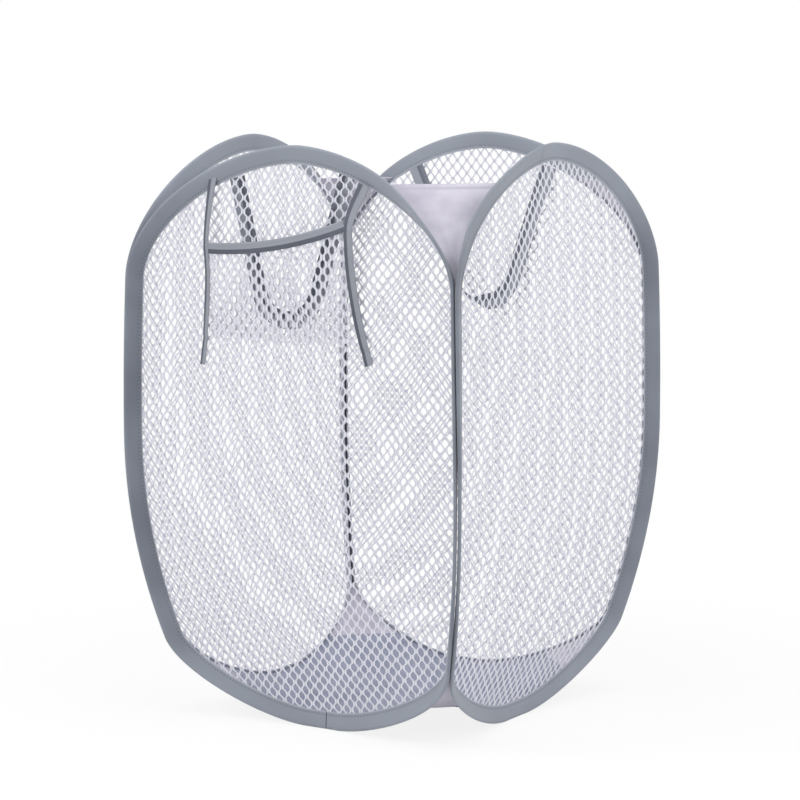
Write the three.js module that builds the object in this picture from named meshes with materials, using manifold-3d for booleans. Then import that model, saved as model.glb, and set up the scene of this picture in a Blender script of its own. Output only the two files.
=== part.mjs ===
// Pop up laundry hamper: four sprung wire loops in folded binding, each with a net panel,
// joined along the corners, with cloth gussets above and below the corner seams and a cloth floor.
// Millimetres, +Z up. The pocket panel faces -Y. The origin is on the ground under the middle.
import * as THREE from 'three';
import { mergeVertices } from 'three/addons/utils/BufferGeometryUtils.js';
import Module from 'manifold-3d';

const solids = await Module();
solids.setup();

// Overall sizes
const HALF_WIDTH = 178; // from the middle to each net panel where the hamper is widest
const HEIGHT = 552;
const WIDEST_HEIGHT = 276;
const GROUND_TUCK = 50; // how far a panel leans in at the ground
const RIM_TUCK = 8; // and at the rim
const SEAM_LOW = 79; // the corner seams run between these heights
const SEAM_HIGH = 424;

// Shape of the loops above and below the seams: 1 is an ellipse, more is a more pointed arch
const RIM_ARCH_SHARE = 1.15;
const GROUND_ARCH_SHARE = 1.2;
const REST_LENGTH = 28; // straight length at the foot of each loop, which stands on the ground
const ARCH_STEPS = 7;
const SEAM_STEPS = 7;

// Binding: a tape folded over the wire and the net's edge
const BINDING_WIDTH = 17;
const BINDING_CLOTH = 0.6;
const BINDING_SLOT = 2.5; // between the two layers
const BINDING_FOLD = 0.7; // corner taken off where the tape folds over
const CLEARANCE = 0.3; // between pieces that touch on the real hamper

// Spring wire and the sleeve that joins its ends
const WIRE_WIDTH = 3.2;
const WIRE_THICKNESS = 1;
const SLEEVE_WALL = 0.35;
const SLEEVE_PLAY = 0.1;
const SLEEVE_LENGTH = 24;
const SLEEVE_STEPS = 4;

// Net
const NET_THICKNESS = 0.8;
const NET_PITCH = 54; // between the middles of neighbouring gaps in a row
const NET_ROW = 56; // between rows
const NET_THREAD = 3.2;
const NET_HEM = 7;
const NET_UPRIGHT_SHARE = 0.3; // a gap's straight side over the row spacing
const NET_LEAST_SHARE = 0.15; // gaps cut smaller than this by the hem are left out
const NET_LEAST_EDGE = 2;
// Each net is built as three bands, which part across two rows of gaps, counted from the middle row
const NET_LOWER_PARTING = -2;
const NET_UPPER_PARTING = 0;

// Cloth gussets and floor
const CLOTH = 0.8;
const GUSSET_STANDOFF = 2.8; // from the binding's middle line to the cloth's edge
const GUSSET_START = 9; // seam to seam width where a gusset begins
const RIM_GUSSET_REACH = 100; // from a panel's middle to its upper gussets' top corners
const GROUND_GUSSET_REACH = 86; // and to the lower gussets' bottom corners
const GUSSET_ROWS = 6;
const GUSSET_COLUMNS = 4;
const FLOOR_SAG = 9; // height of the floor's middle above the ground
const FLOOR_RINGS = 3;
const FLOOR_EDGE_STEPS = 8;

// Carrying straps, inside the front and back panels
const FRONT_STRAP_SPACING = 122; // between the middles of a strap's two ends
const FRONT_STRAP_OFFSET = -7.5; // of the middle between its ends from the panel's middle
const FRONT_STRAP_DROP = 136; // from its higher end to the middle of the tape at its foot
const BACK_STRAP_SPACING = 156;
const BACK_STRAP_OFFSET = 6;
const BACK_STRAP_DROP = 139;
const STRAP_SWAY = -6; // of a strap's foot from the middle between its ends
const STRAP_WIDTH = 17;
const STRAP_THICKNESS = 1.4;
const STRAP_LAP = 3; // of a strap's end on the binding's inner face
const STRAP_TURN_HALF = 32; // half the width where a strap starts to turn round at its foot
const STRAP_TURN_RISE = 25; // and how far above its foot that is
const STRAP_STEPS = 8;

// Pocket on the outside of the front panel
const POCKET_TAPE_WIDTH = 9;
const POCKET_TAPE_CLOTH = 0.6; // how far the tapes stand proud of the pocket's net
const POCKET_BINDING_WIDTH = 9;
const POCKET_BINDING_THICKNESS = 2;
const POCKET_FOOT_SHARE = 0.6721; // height of the pocket's lower edge, as a share of the height
const MOUTH_LEFT_RISE = 84; // of the mouth's ends above that edge
const MOUTH_RIGHT_RISE = 111;
const POCKET_LEAN_RISE = 119; // height above that edge at which the pocket stands off by the next size
const POCKET_LEAN = 8;
const POCKET_SAG = 7; // of the mouth below the line between its ends
const POCKET_STEPS = 6;
const POCKET_NET_PITCH = 27;
const POCKET_NET_ROW = 28;
const POCKET_NET_THREAD = 2.4;
const POCKET_HEM = 4;
// The tapes' middle lines below their top ends, as shares of the half width and of the height
const LEFT_TAPE_TOP_SHARE = -0.514;
const LEFT_TAPE_SHARES = [
  { alongShare: -0.529, heightShare: 0.853 },
  { alongShare: -0.524, heightShare: 0.777 },
  { alongShare: -0.551, heightShare: 0.6855 },
  { alongShare: -0.576, heightShare: 0.625 },
];
const RIGHT_TAPE_TOP_SHARE = 0.433;
const RIGHT_TAPE_SHARES = [
  { alongShare: 0.371, heightShare: 0.882 },
  { alongShare: 0.365, heightShare: 0.819 },
  { alongShare: 0.388, heightShare: 0.752 },
  { alongShare: 0.427, heightShare: 0.688 },
  { alongShare: 0.466, heightShare: 0.645 },
];

// Worked out from the sizes above
const BINDING_HALF = BINDING_SLOT / 2 + BINDING_CLOTH;
const CORNER_SETBACK = Math.SQRT2 * (BINDING_HALF + CLEARANCE / 2);
const STRAP_STANDOFF = BINDING_HALF + CLEARANCE + STRAP_THICKNESS / 2;
const POCKET_FOOT = POCKET_FOOT_SHARE * HEIGHT;
const MOUTH_LEFT_HEIGHT = POCKET_FOOT + MOUTH_LEFT_RISE;
const MOUTH_RIGHT_HEIGHT = POCKET_FOOT + MOUTH_RIGHT_RISE;
const QUARTER_TURN = Math.PI / 2;
const SHARE_STEP = 1e-4; // along a loop, for its direction
const HALVINGS = 40; // when a place along a loop is searched for

// The panels, anticlockwise from above, and the corner at the far end of each
const SIDES = ['front', 'right', 'back', 'left'];
const CORNERS = ['front_right', 'back_right', 'back_left', 'front_left'];

// Materials
const finish = (color, roughness, metalness = 0) =>
  new THREE.MeshStandardMaterial({ color, roughness, metalness });
const bindingFinish = () => finish(0x737984, 0.75);
const netFinish = () => finish(0xf0f0f6, 0.6);
const clothFinish = () => finish(0xc3c0cd, 0.85);
const steelFinish = () => finish(0x9a9ca0, 0.35, 1);

// Distance from the middle to a panel, at a height
function panelDepth(z) {
  if (z < WIDEST_HEIGHT) {
    const drop = (WIDEST_HEIGHT - z) / WIDEST_HEIGHT;
    return HALF_WIDTH - GROUND_TUCK * drop * drop;
  }
  const rise = (z - WIDEST_HEIGHT) / (HEIGHT - WIDEST_HEIGHT);
  return HALF_WIDTH - RIM_TUCK * rise * rise;
}

// A sine or cosine raised to an arch's power, with its sign kept
const raised = (value, power) => Math.sign(value) * Math.abs(value) ** power;

// Inner edge of the binding on the half of a panel towards +X, as distance along and height.
// Each stretch takes a share from 0 to 1, running up the loop.
function groundArch(share) {
  const turn = share * QUARTER_TURN;
  const z = SEAM_LOW - (SEAM_LOW - BINDING_WIDTH) * raised(Math.cos(turn), GROUND_ARCH_SHARE);
  const reach = panelDepth(z) - CORNER_SETBACK - REST_LENGTH / 2;
  return [REST_LENGTH / 2 + reach * raised(Math.sin(turn), GROUND_ARCH_SHARE), z];
}

function cornerSeam(share) {
  const z = SEAM_LOW + share * (SEAM_HIGH - SEAM_LOW);
  return [panelDepth(z) - CORNER_SETBACK, z];
}

function rimArch(share) {
  const turn = share * QUARTER_TURN;
  const rise = HEIGHT - BINDING_WIDTH - SEAM_HIGH;
  const z = SEAM_HIGH + rise * raised(Math.sin(turn), RIM_ARCH_SHARE);
  return [(panelDepth(z) - CORNER_SETBACK) * raised(Math.cos(turn), RIM_ARCH_SHARE), z];
}

// A place on the loop: its point on the front panel, the way the binding stands (outward at the
// corners, in the panel's plane at top and bottom) and the way through the binding.
function loopFrame(stretch, share, side = 1) {
  const [along, z] = stretch(share);
  const [alongBefore, zBefore] = stretch(share - SHARE_STEP);
  const [alongAfter, zAfter] = stretch(share + SHARE_STEP);
  const run = new THREE.Vector3(
    alongAfter - alongBefore, panelDepth(zBefore) - panelDepth(zAfter), zAfter - zBefore).normalize();
  const flat = Math.hypot(run.x, run.z);
  const outward = run.z / flat;
  const stand = new THREE.Vector3(outward * Math.SQRT1_2, -outward * Math.SQRT1_2, -run.x / flat);
  stand.addScaledVector(run, -stand.dot(run)).normalize();
  const through = new THREE.Vector3().crossVectors(run, stand);
  const frame = { point: new THREE.Vector3(along, -panelDepth(z), z), stand, through };
  if (side < 0) {
    frame.point.x *= -1;
    frame.stand.x *= -1;
    frame.through.x *= -1;
  }
  return frame;
}

// The whole loop's frames, from the middle of the rim down the -X side and up the +X side
function loopFrames() {
  const half = [];
  for (let i = 0; i < ARCH_STEPS; i++) half.push([groundArch, i / ARCH_STEPS]);
  for (let i = 0; i < SEAM_STEPS; i++) half.push([cornerSeam, i / SEAM_STEPS]);
  for (let i = 0; i < ARCH_STEPS; i++) half.push([rimArch, i / ARCH_STEPS]);
  const right = half.map(([stretch, share]) => loopFrame(stretch, share));
  const left = half.map(([stretch, share]) => loopFrame(stretch, share, -1));
  const top = loopFrame(rimArch, 1);
  top.point.x = 0;
  return [top, ...left.reverse(), ...right];
}

// Closed solid from a list of vertices and triangles, turned outwards
function solidFrom(vertices, triangles) {
  const geometry = new THREE.BufferGeometry();
  geometry.setAttribute('position', new THREE.Float32BufferAttribute(vertices.flat(), 3));
  geometry.setIndex(triangles.flat());
  return facingOut(geometry);
}

function facingOut(geometry) {
  const place = geometry.getAttribute('position');
  const index = geometry.getIndex().array;
  const corner = (i) => new THREE.Vector3().fromBufferAttribute(place, index[i]);
  let volume = 0;
  for (let i = 0; i < index.length; i += 3) {
    volume += corner(i).dot(corner(i + 1).cross(corner(i + 2)));
  }
  if (volume < 0) {
    for (let i = 0; i < index.length; i += 3) [index[i], index[i + 1]] = [index[i + 1], index[i]];
  }
  geometry.computeVertexNormals();
  return geometry;
}

// Sweeps a section, given anticlockwise as [out along the stand, through] points, over the frames
function sweep(frames, section, closed) {
  const vertices = [];
  for (const { point, stand, through } of frames) {
    for (const [out, across] of section) {
      const v = point.clone().addScaledVector(stand, out).addScaledVector(through, across);
      vertices.push(v.toArray());
    }
  }
  const count = section.length;
  const triangles = [];
  const spans = closed ? frames.length : frames.length - 1;
  for (let i = 0; i < spans; i++) {
    const here = i * count;
    const next = ((i + 1) % frames.length) * count;
    // Both faces of a wall are split along the same diagonal, so a twist doesn't thin the wall
    for (let j = 0; j < count; j++) {
      const k = (j + 1) % count;
      if (section[k][0] > section[j][0]) {
        triangles.push([here + j, next + j, next + k], [here + j, next + k, here + k]);
      } else {
        triangles.push([here + j, next + j, here + k], [here + k, next + j, next + k]);
      }
    }
  }
  if (!closed) {
    const outline = section.map(([out, across]) => new THREE.Vector2(out, across));
    const last = (frames.length - 1) * count;
    for (const [a, b, c] of THREE.ShapeUtils.triangulateShape(outline, [])) {
      triangles.push([a, b, c], [last + c, last + b, last + a]);
    }
  }
  return solidFrom(vertices, triangles);
}

// Thin closed solid from a grid of points, given a front point and a back point for each
function plate(front, back) {
  const rows = front.length;
  const columns = front[0].length;
  const vertices = [...front.flat(), ...back.flat()].map((v) => v.toArray());
  const offset = rows * columns;
  const at = (i, j) => i * columns + j;
  const triangles = [];
  const quad = (a, b, c, d) => triangles.push([a, b, c], [a, c, d]);
  for (let i = 0; i < rows - 1; i++) {
    for (let j = 0; j < columns - 1; j++) {
      quad(at(i, j), at(i, j + 1), at(i + 1, j + 1), at(i + 1, j));
      quad(offset + at(i + 1, j), offset + at(i + 1, j + 1), offset + at(i, j + 1), offset + at(i, j));
    }
  }
  for (let j = 0; j < columns - 1; j++) {
    quad(at(0, j + 1), at(0, j), offset + at(0, j), offset + at(0, j + 1));
    const end = rows - 1;
    quad(at(end, j), at(end, j + 1), offset + at(end, j + 1), offset + at(end, j));
  }
  for (let i = 0; i < rows - 1; i++) {
    quad(at(i, 0), at(i + 1, 0), offset + at(i + 1, 0), offset + at(i, 0));
    const end = columns - 1;
    quad(at(i + 1, end), at(i, end), offset + at(i, end), offset + at(i + 1, end));
  }
  return solidFrom(vertices, triangles);
}

// Sections of the swept pieces
function bindingSection() {
  const inside = BINDING_SLOT / 2;
  const fold = BINDING_WIDTH - BINDING_CLOTH;
  return [
    [0, -BINDING_HALF],
    [BINDING_WIDTH - BINDING_FOLD, -BINDING_HALF],
    [BINDING_WIDTH, BINDING_FOLD - BINDING_HALF],
    [BINDING_WIDTH, BINDING_HALF - BINDING_FOLD],
    [BINDING_WIDTH - BINDING_FOLD, BINDING_HALF],
    [0, BINDING_HALF],
    [0, inside],
    [fold, inside],
    [fold, -inside],
    [0, -inside],
  ];
}

const WIRE_OUTER = BINDING_WIDTH - BINDING_CLOTH - CLEARANCE - SLEEVE_WALL - SLEEVE_PLAY;

function wireSection() {
  const half = WIRE_THICKNESS / 2;
  const inner = WIRE_OUTER - WIRE_WIDTH;
  return [[inner, -half], [WIRE_OUTER, -half], [WIRE_OUTER, half], [inner, half]];
}

function sleeveSection() {
  const inside = WIRE_THICKNESS / 2 + SLEEVE_PLAY;
  const outside = inside + SLEEVE_WALL;
  const inner = WIRE_OUTER - WIRE_WIDTH;
  const fold = WIRE_OUTER + SLEEVE_PLAY;
  return [
    [inner, -outside],
    [fold + SLEEVE_WALL, -outside],
    [fold + SLEEVE_WALL, outside],
    [inner, outside],
    [inner, inside],
    [fold, inside],
    [fold, -inside],
    [inner, -inside],
  ];
}

// The sleeve sits on the wire's straight stretch at the foot of the loop
function sleeveFrames() {
  const frames = [];
  const foot = loopFrame(groundArch, 0);
  for (let i = 0; i <= SLEEVE_STEPS; i++) {
    const point = foot.point.clone();
    point.x = SLEEVE_LENGTH * (i / SLEEVE_STEPS - 1 / 2);
    frames.push({ point, stand: foot.stand, through: foot.through });
  }
  return frames;
}

// Cuts a polygon back to the inside of a convex outline that runs anticlockwise
function clipped(polygon, outline) {
  let kept = polygon;
  for (let i = 0; i < outline.length && kept.length; i++) {
    const a = outline[i];
    const b = outline[(i + 1) % outline.length];
    const side = (p) => (b.x - a.x) * (p.y - a.y) - (b.y - a.y) * (p.x - a.x);
    const next = [];
    kept.forEach((p, j) => {
      const q = kept[(j + 1) % kept.length];
      const [here, there] = [side(p), side(q)];
      if (here >= 0) next.push(p);
      if (here * there < 0) next.push(p.clone().lerp(q, here / (here - there)));
    });
    kept = next;
  }
  return kept.filter((p, j) => p.distanceTo(kept[(j + 1) % kept.length]) > NET_LEAST_EDGE);
}

// An outline moved in towards its own inside
function inset(outline, distance) {
  return outline.map((p, i) => {
    const before = outline[(i + outline.length - 1) % outline.length];
    const after = outline[(i + 1) % outline.length];
    const run = after.clone().sub(before).normalize();
    return new THREE.Vector2(p.x - run.y * distance, p.y + run.x * distance);
  });
}

const PANEL_MESH = { pitch: NET_PITCH, row: NET_ROW, thread: NET_THREAD, hem: NET_HEM };
const POCKET_MESH = {
  pitch: POCKET_NET_PITCH,
  row: POCKET_NET_ROW,
  thread: POCKET_NET_THREAD,
  hem: POCKET_HEM,
};

// One gap of a net, an upright hexagon
function netGap(mesh, x, y) {
  const share = 1 - mesh.thread / mesh.pitch;
  const half = (mesh.pitch / 2) * share;
  const side = (mesh.row * NET_UPRIGHT_SHARE * share) / 2;
  const tip = side + mesh.row * (1 - NET_UPRIGHT_SHARE) * share;
  const corners = [[half, -side], [half, side], [0, tip], [-half, side], [-half, -side], [0, -tip]];
  return corners.map(([dx, dy]) => new THREE.Vector2(x + dx, y + dy));
}

// A net with staggered gaps in a flat outline, then carried to its place by the given function
function net(outline, mesh, place) {
  const shape = new THREE.Shape(outline);
  const hemLine = inset(outline, mesh.hem);
  const box = new THREE.Box2().setFromPoints(outline);
  const middle = box.getCenter(new THREE.Vector2());
  const rows = Math.ceil((box.max.y - box.min.y) / mesh.row / 2);
  const columns = Math.ceil((box.max.x - box.min.x) / mesh.pitch / 2) + 1;
  const least = NET_LEAST_SHARE * Math.abs(THREE.ShapeUtils.area(netGap(mesh, 0, 0)));
  for (let i = -rows; i <= rows; i++) {
    const first = middle.x + (i % 2 ? mesh.pitch / 2 : 0);
    for (let j = -columns; j <= columns; j++) {
      const gap = clipped(hemLine, netGap(mesh, first + j * mesh.pitch, middle.y + i * mesh.row));
      if (gap.length > 2 && THREE.ShapeUtils.area(gap) > least) shape.holes.push(new THREE.Path(gap));
    }
  }
  const flat = new THREE.ExtrudeGeometry(shape, { depth: NET_THICKNESS, bevelEnabled: false, steps: 1 });
  flat.deleteAttribute('normal');
  flat.deleteAttribute('uv');
  const geometry = mergeVertices(flat);
  const vertices = geometry.getAttribute('position');
  const v = new THREE.Vector3();
  for (let i = 0; i < vertices.count; i++) {
    v.fromBufferAttribute(vertices, i);
    const moved = place(v.x, v.y, v.z - NET_THICKNESS / 2);
    vertices.setXYZ(i, moved.x, moved.y, moved.z);
  }
  return facingOut(geometry);
}

const onPanel = (along, height, through) => new THREE.Vector3(along, through - panelDepth(height), height);

function panelNet(frames) {
  const outline = frames.map(({ point }) => new THREE.Vector2(point.x, point.z));
  return net(outline, PANEL_MESH, onPanel);
}

// Heights between which each band of a panel's net lies
const partingHeight = (rows) => HEIGHT / 2 + rows * NET_ROW;
const NET_BANDS = {
  lower: { low: 0, high: partingHeight(NET_LOWER_PARTING) },
  middle: { low: partingHeight(NET_LOWER_PARTING), high: partingHeight(NET_UPPER_PARTING) },
  upper: { low: partingHeight(NET_UPPER_PARTING), high: HEIGHT },
};

// The part of a solid between two heights
function cutToBand(geometry, { low, high }) {
  const whole = new solids.Manifold(new solids.Mesh({
    numProp: 3,
    vertProperties: new Float32Array(geometry.getAttribute('position').array),
    triVerts: new Uint32Array(geometry.getIndex().array),
  }));
  const band = whole
    .trimByPlane([0, 0, 1], low + CLEARANCE / 2)
    .trimByPlane([0, 0, -1], CLEARANCE / 2 - high)
    .getMesh();
  const kept = new THREE.BufferGeometry();
  kept.setAttribute('position', new THREE.Float32BufferAttribute(band.vertProperties, 3));
  kept.setIndex([...band.triVerts]);
  return facingOut(kept);
}

// The other panel's copy of a point on the front panel, across the corner towards +X
const acrossCorner = (v) => new THREE.Vector3(-v.y, -v.x, v.z);

// Share along an arch at which the loop is a given distance from the panel's middle
function shareAt(stretch, wanted) {
  let [low, high] = [0, 1];
  const rising = stretch(1)[0] > stretch(0)[0];
  for (let i = 0; i < HALVINGS; i++) {
    const mid = (low + high) / 2;
    if (stretch(mid)[0] < wanted === rising) low = mid;
    else high = mid;
  }
  return (low + high) / 2;
}

// Share along an arch at which the two loops at a corner have parted by a given width
function shareParted(stretch, width) {
  let [low, high] = stretch === rimArch ? [0, 1] : [1, 0];
  for (let i = 0; i < HALVINGS; i++) {
    const mid = (low + high) / 2;
    const [along, z] = stretch(mid);
    if ((panelDepth(z) - along) * Math.SQRT2 < width) low = mid;
    else high = mid;
  }
  return (low + high) / 2;
}

// A gusset's edge point on the front panel's loop, stood off towards the corner
function gussetEdge(stretch, share) {
  const { point } = loopFrame(stretch, share);
  const shift = GUSSET_STANDOFF * Math.SQRT1_2;
  return point.add(new THREE.Vector3(shift, shift, 0));
}

// Cloth across a corner, between the arches of the two loops that meet there
function gusset(stretch, reach) {
  const start = shareParted(stretch, GUSSET_START);
  const end = shareAt(stretch, reach);
  const inward = new THREE.Vector3(-Math.SQRT1_2, Math.SQRT1_2, 0).multiplyScalar(CLOTH / 2);
  const front = [];
  const back = [];
  for (let i = 0; i <= GUSSET_ROWS; i++) {
    const a = gussetEdge(stretch, start + ((end - start) * i) / GUSSET_ROWS);
    const b = acrossCorner(a);
    const row = [];
    for (let j = 0; j <= GUSSET_COLUMNS; j++) row.push(a.clone().lerp(b, j / GUSSET_COLUMNS));
    front.push(row.map((v) => v.clone().sub(inward)));
    back.push(row.map((v) => v.clone().add(inward)));
  }
  return plate(front, back);
}

// Floor: an eight sided cloth held by the four loops and the lower gussets
function floorOutline() {
  const end = shareAt(groundArch, GROUND_GUSSET_REACH);
  const side = [];
  for (let i = -FLOOR_EDGE_STEPS / 2; i <= FLOOR_EDGE_STEPS / 2; i++) {
    const share = (Math.abs(i) / (FLOOR_EDGE_STEPS / 2)) * end;
    const { point } = loopFrame(groundArch, share, i < 0 ? -1 : 1);
    if (i === 0) point.x = 0;
    point.y += GUSSET_STANDOFF;
    side.push(point);
  }
  const outline = [];
  for (let k = 0; k < SIDES.length; k++) {
    for (const point of side) {
      outline.push(point.clone().applyAxisAngle(new THREE.Vector3(0, 0, 1), k * QUARTER_TURN));
    }
  }
  return outline;
}

function floorCloth() {
  const outline = floorOutline();
  const vertices = [];
  for (const lift of [CLOTH / 2, -CLOTH / 2]) {
    vertices.push([0, 0, FLOOR_SAG + lift]);
    for (let ring = 1; ring <= FLOOR_RINGS; ring++) {
      const share = ring / FLOOR_RINGS;
      for (const p of outline) {
        vertices.push([p.x * share, p.y * share, FLOOR_SAG + (p.z - FLOOR_SAG) * share * share + lift]);
      }
    }
  }
  const count = outline.length;
  const layer = 1 + FLOOR_RINGS * count;
  const triangles = [];
  for (let j = 0; j < count; j++) {
    const k = (j + 1) % count;
    triangles.push([0, 1 + j, 1 + k], [layer, layer + 1 + k, layer + 1 + j]);
    for (let ring = 0; ring < FLOOR_RINGS - 1; ring++) {
      const [a, b] = [1 + ring * count, 1 + (ring + 1) * count];
      triangles.push([a + j, b + j, b + k], [a + j, b + k, a + k]);
      triangles.push([layer + a + j, layer + b + k, layer + b + j]);
      triangles.push([layer + a + j, layer + a + k, layer + b + k]);
    }
    const rim = 1 + (FLOOR_RINGS - 1) * count;
    triangles.push([rim + j, layer + rim + j, layer + rim + k], [rim + j, layer + rim + k, rim + k]);
  }
  return solidFrom(vertices, triangles);
}

// Height of the faceted inner edge of the rim's binding, at a distance from the panel's middle
function rimEdge(along) {
  for (let i = 0; i < ARCH_STEPS; i++) {
    const [outer, low] = rimArch(i / ARCH_STEPS);
    const [inner, high] = rimArch((i + 1) / ARCH_STEPS);
    if (along >= inner) return low + ((high - low) * (outer - along)) / (outer - inner);
  }
  return HEIGHT - BINDING_WIDTH;
}

// A carrying strap: a tape in a hanging U, its ends lapped on the binding's inner face
const STRAPS = {
  front: { spacing: FRONT_STRAP_SPACING, offset: FRONT_STRAP_OFFSET, drop: FRONT_STRAP_DROP },
  back: { spacing: BACK_STRAP_SPACING, offset: BACK_STRAP_OFFSET, drop: BACK_STRAP_DROP },
};

function strap({ spacing, offset, drop }) {
  const [left, right] = [offset - spacing / 2, offset + spacing / 2];
  const endHeight = (along) => rimEdge(Math.abs(along) + STRAP_WIDTH / 2) + STRAP_LAP;
  const leftEnd = new THREE.Vector2(left, endHeight(left));
  const rightEnd = new THREE.Vector2(right, endHeight(right));
  const foot = Math.max(leftEnd.y, rightEnd.y) - drop;
  const leftTurn = new THREE.Vector2(offset + STRAP_SWAY - STRAP_TURN_HALF, foot + STRAP_TURN_RISE);
  const rightTurn = new THREE.Vector2(offset + STRAP_SWAY + STRAP_TURN_HALF, foot + STRAP_TURN_RISE);
  // The legs run on into the turn; a cubic curve falls by three quarters of its handles' fall
  const handle = (end, turn) =>
    turn.clone().lerp(end, (-STRAP_TURN_RISE * 4) / 3 / (end.y - turn.y));
  const turn = new THREE.CubicBezierCurve(
    leftTurn, handle(leftEnd, leftTurn), handle(rightEnd, rightTurn), rightTurn);
  const points = [leftEnd, ...turn.getPoints(STRAP_STEPS), rightEnd];
  const y = -panelDepth(Math.max(leftEnd.y, rightEnd.y)) + STRAP_STANDOFF;
  return ribbon(points, STRAP_WIDTH, (p) => [
    new THREE.Vector3(p.x, y - STRAP_THICKNESS / 2, p.y),
    new THREE.Vector3(p.x, y + STRAP_THICKNESS / 2, p.y),
  ]);
}

// A tape along a flat line of points, square at its ends, as a thin solid
function ribbon(points, width, faces) {
  const front = [];
  const back = [];
  points.forEach((p, i) => {
    const before = points[Math.max(i - 1, 0)];
    const after = points[Math.min(i + 1, points.length - 1)];
    const run = after.clone().sub(before).normalize();
    const level = i === 0 || i === points.length - 1;
    const side = level ? new THREE.Vector2(-Math.sign(run.y), 0) : new THREE.Vector2(-run.y, run.x);
    const edges = [-width / 2, width / 2].map((d) => faces(p.clone().addScaledVector(side, d)));
    front.push(edges.map((e) => e[0]));
    back.push(edges.map((e) => e[1]));
  });
  return plate(front, back);
}

// Where the pocket's net lies: it touches the panel at its foot and leans out towards its mouth
function pocketDepth(height) {
  const foot = panelDepth(POCKET_FOOT) + NET_THICKNESS + CLEARANCE;
  const mouth = panelDepth(POCKET_FOOT) + POCKET_LEAN;
  return foot + ((mouth - foot) * (height - POCKET_FOOT)) / POCKET_LEAN_RISE;
}

const tapeInside = (height) => panelDepth(height) + NET_THICKNESS / 2 + CLEARANCE;

// A tape's middle line, from just under the rim's binding down to its loose end
function tapeLine(topShare, shares) {
  const top = topShare * HALF_WIDTH;
  const height = rimEdge(Math.abs(top) + POCKET_TAPE_WIDTH / 2) - 2 * CLEARANCE;
  const below = shares.map((s) => ({ along: s.alongShare * HALF_WIDTH, height: s.heightShare * HEIGHT }));
  return [{ along: top, height }, ...below];
}

const LEFT_TAPE = tapeLine(LEFT_TAPE_TOP_SHARE, LEFT_TAPE_SHARES);
const RIGHT_TAPE = tapeLine(RIGHT_TAPE_TOP_SHARE, RIGHT_TAPE_SHARES);

// Above the pocket's mouth a tape comes back to the panel
function tapeOutside(height, mouthHeight) {
  const proud = NET_THICKNESS / 2 + POCKET_TAPE_CLOTH;
  if (height < POCKET_FOOT) return tapeInside(height) + 2 * POCKET_TAPE_CLOTH;
  const reach = pocketDepth(Math.min(height, mouthHeight)) + proud;
  if (height <= mouthHeight) return reach;
  const share = (height - mouthHeight) / (HEIGHT - BINDING_WIDTH - mouthHeight);
  return reach + (tapeInside(height) + 2 * POCKET_TAPE_CLOTH - reach) * share;
}

function pocketTape(line, mouthHeight) {
  const points = line.map(({ along, height }) => new THREE.Vector2(along, height));
  return ribbon(points, POCKET_TAPE_WIDTH, (p) => [
    new THREE.Vector3(p.x, -tapeOutside(p.y, mouthHeight), p.y),
    new THREE.Vector3(p.x, -tapeInside(p.y), p.y),
  ]);
}

// How far along the panel a tape's middle line is, at a height
function tapeAlong(line, height) {
  for (let i = 0; i < line.length - 1; i++) {
    const [a, b] = [line[i], line[i + 1]];
    if (height <= a.height && height >= b.height) {
      return a.along + ((b.along - a.along) * (height - a.height)) / (b.height - a.height);
    }
  }
  return line[line.length - 1].along;
}

const TAPE_ROOM = POCKET_TAPE_WIDTH / 2 + 2 * CLEARANCE;

// Height of the middle of the binding along the pocket's mouth
function mouthHeightAt(share) {
  const line = MOUTH_LEFT_HEIGHT + (MOUTH_RIGHT_HEIGHT - MOUTH_LEFT_HEIGHT) * share;
  return line - POCKET_SAG * 4 * share * (1 - share);
}

function mouthPoint(share, below = 0) {
  const left = tapeAlong(LEFT_TAPE, MOUTH_LEFT_HEIGHT) + TAPE_ROOM;
  const right = tapeAlong(RIGHT_TAPE, MOUTH_RIGHT_HEIGHT) - TAPE_ROOM;
  return new THREE.Vector2(left + (right - left) * share, mouthHeightAt(share) - below);
}

function pocketBinding() {
  const front = [];
  const back = [];
  for (let i = 0; i <= POCKET_STEPS; i++) {
    const rows = [-1, 1].map((side) => {
      const p = mouthPoint(i / POCKET_STEPS, (-side * POCKET_BINDING_WIDTH) / 2);
      const depth = pocketDepth(p.y);
      const half = POCKET_BINDING_THICKNESS / 2;
      return [new THREE.Vector3(p.x, -depth - half, p.y), new THREE.Vector3(p.x, -depth + half, p.y)];
    });
    front.push(rows.map((r) => r[0]));
    back.push(rows.map((r) => r[1]));
  }
  return plate(front, back);
}

function pocketNet() {
  const outline = [];
  const under = POCKET_BINDING_WIDTH / 2 + CLEARANCE;
  const leftFoot = tapeAlong(LEFT_TAPE, POCKET_FOOT) + TAPE_ROOM;
  const rightFoot = tapeAlong(RIGHT_TAPE, POCKET_FOOT) - TAPE_ROOM;
  outline.push(new THREE.Vector2(leftFoot, POCKET_FOOT), new THREE.Vector2(rightFoot, POCKET_FOOT));
  for (const { along, height } of [...RIGHT_TAPE].reverse()) {
    if (height > POCKET_FOOT && height < MOUTH_RIGHT_HEIGHT - 2 * under) {
      outline.push(new THREE.Vector2(along - TAPE_ROOM, height));
    }
  }
  for (let i = POCKET_STEPS; i >= 0; i--) outline.push(mouthPoint(i / POCKET_STEPS, under));
  for (const { along, height } of LEFT_TAPE) {
    if (height > POCKET_FOOT + under && height < MOUTH_LEFT_HEIGHT - 2 * under) {
      outline.push(new THREE.Vector2(along + TAPE_ROOM, height));
    }
  }
  return net(outline, POCKET_MESH, (along, height, through) =>
    new THREE.Vector3(along, through - pocketDepth(height), height));
}

// Assembly: each panel is modelled as the front one and turned into its place
const hamper = new THREE.Group();

function add(group, name, geometry, material) {
  const mesh = new THREE.Mesh(geometry, material);
  mesh.name = name;
  group.add(mesh);
}

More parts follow.
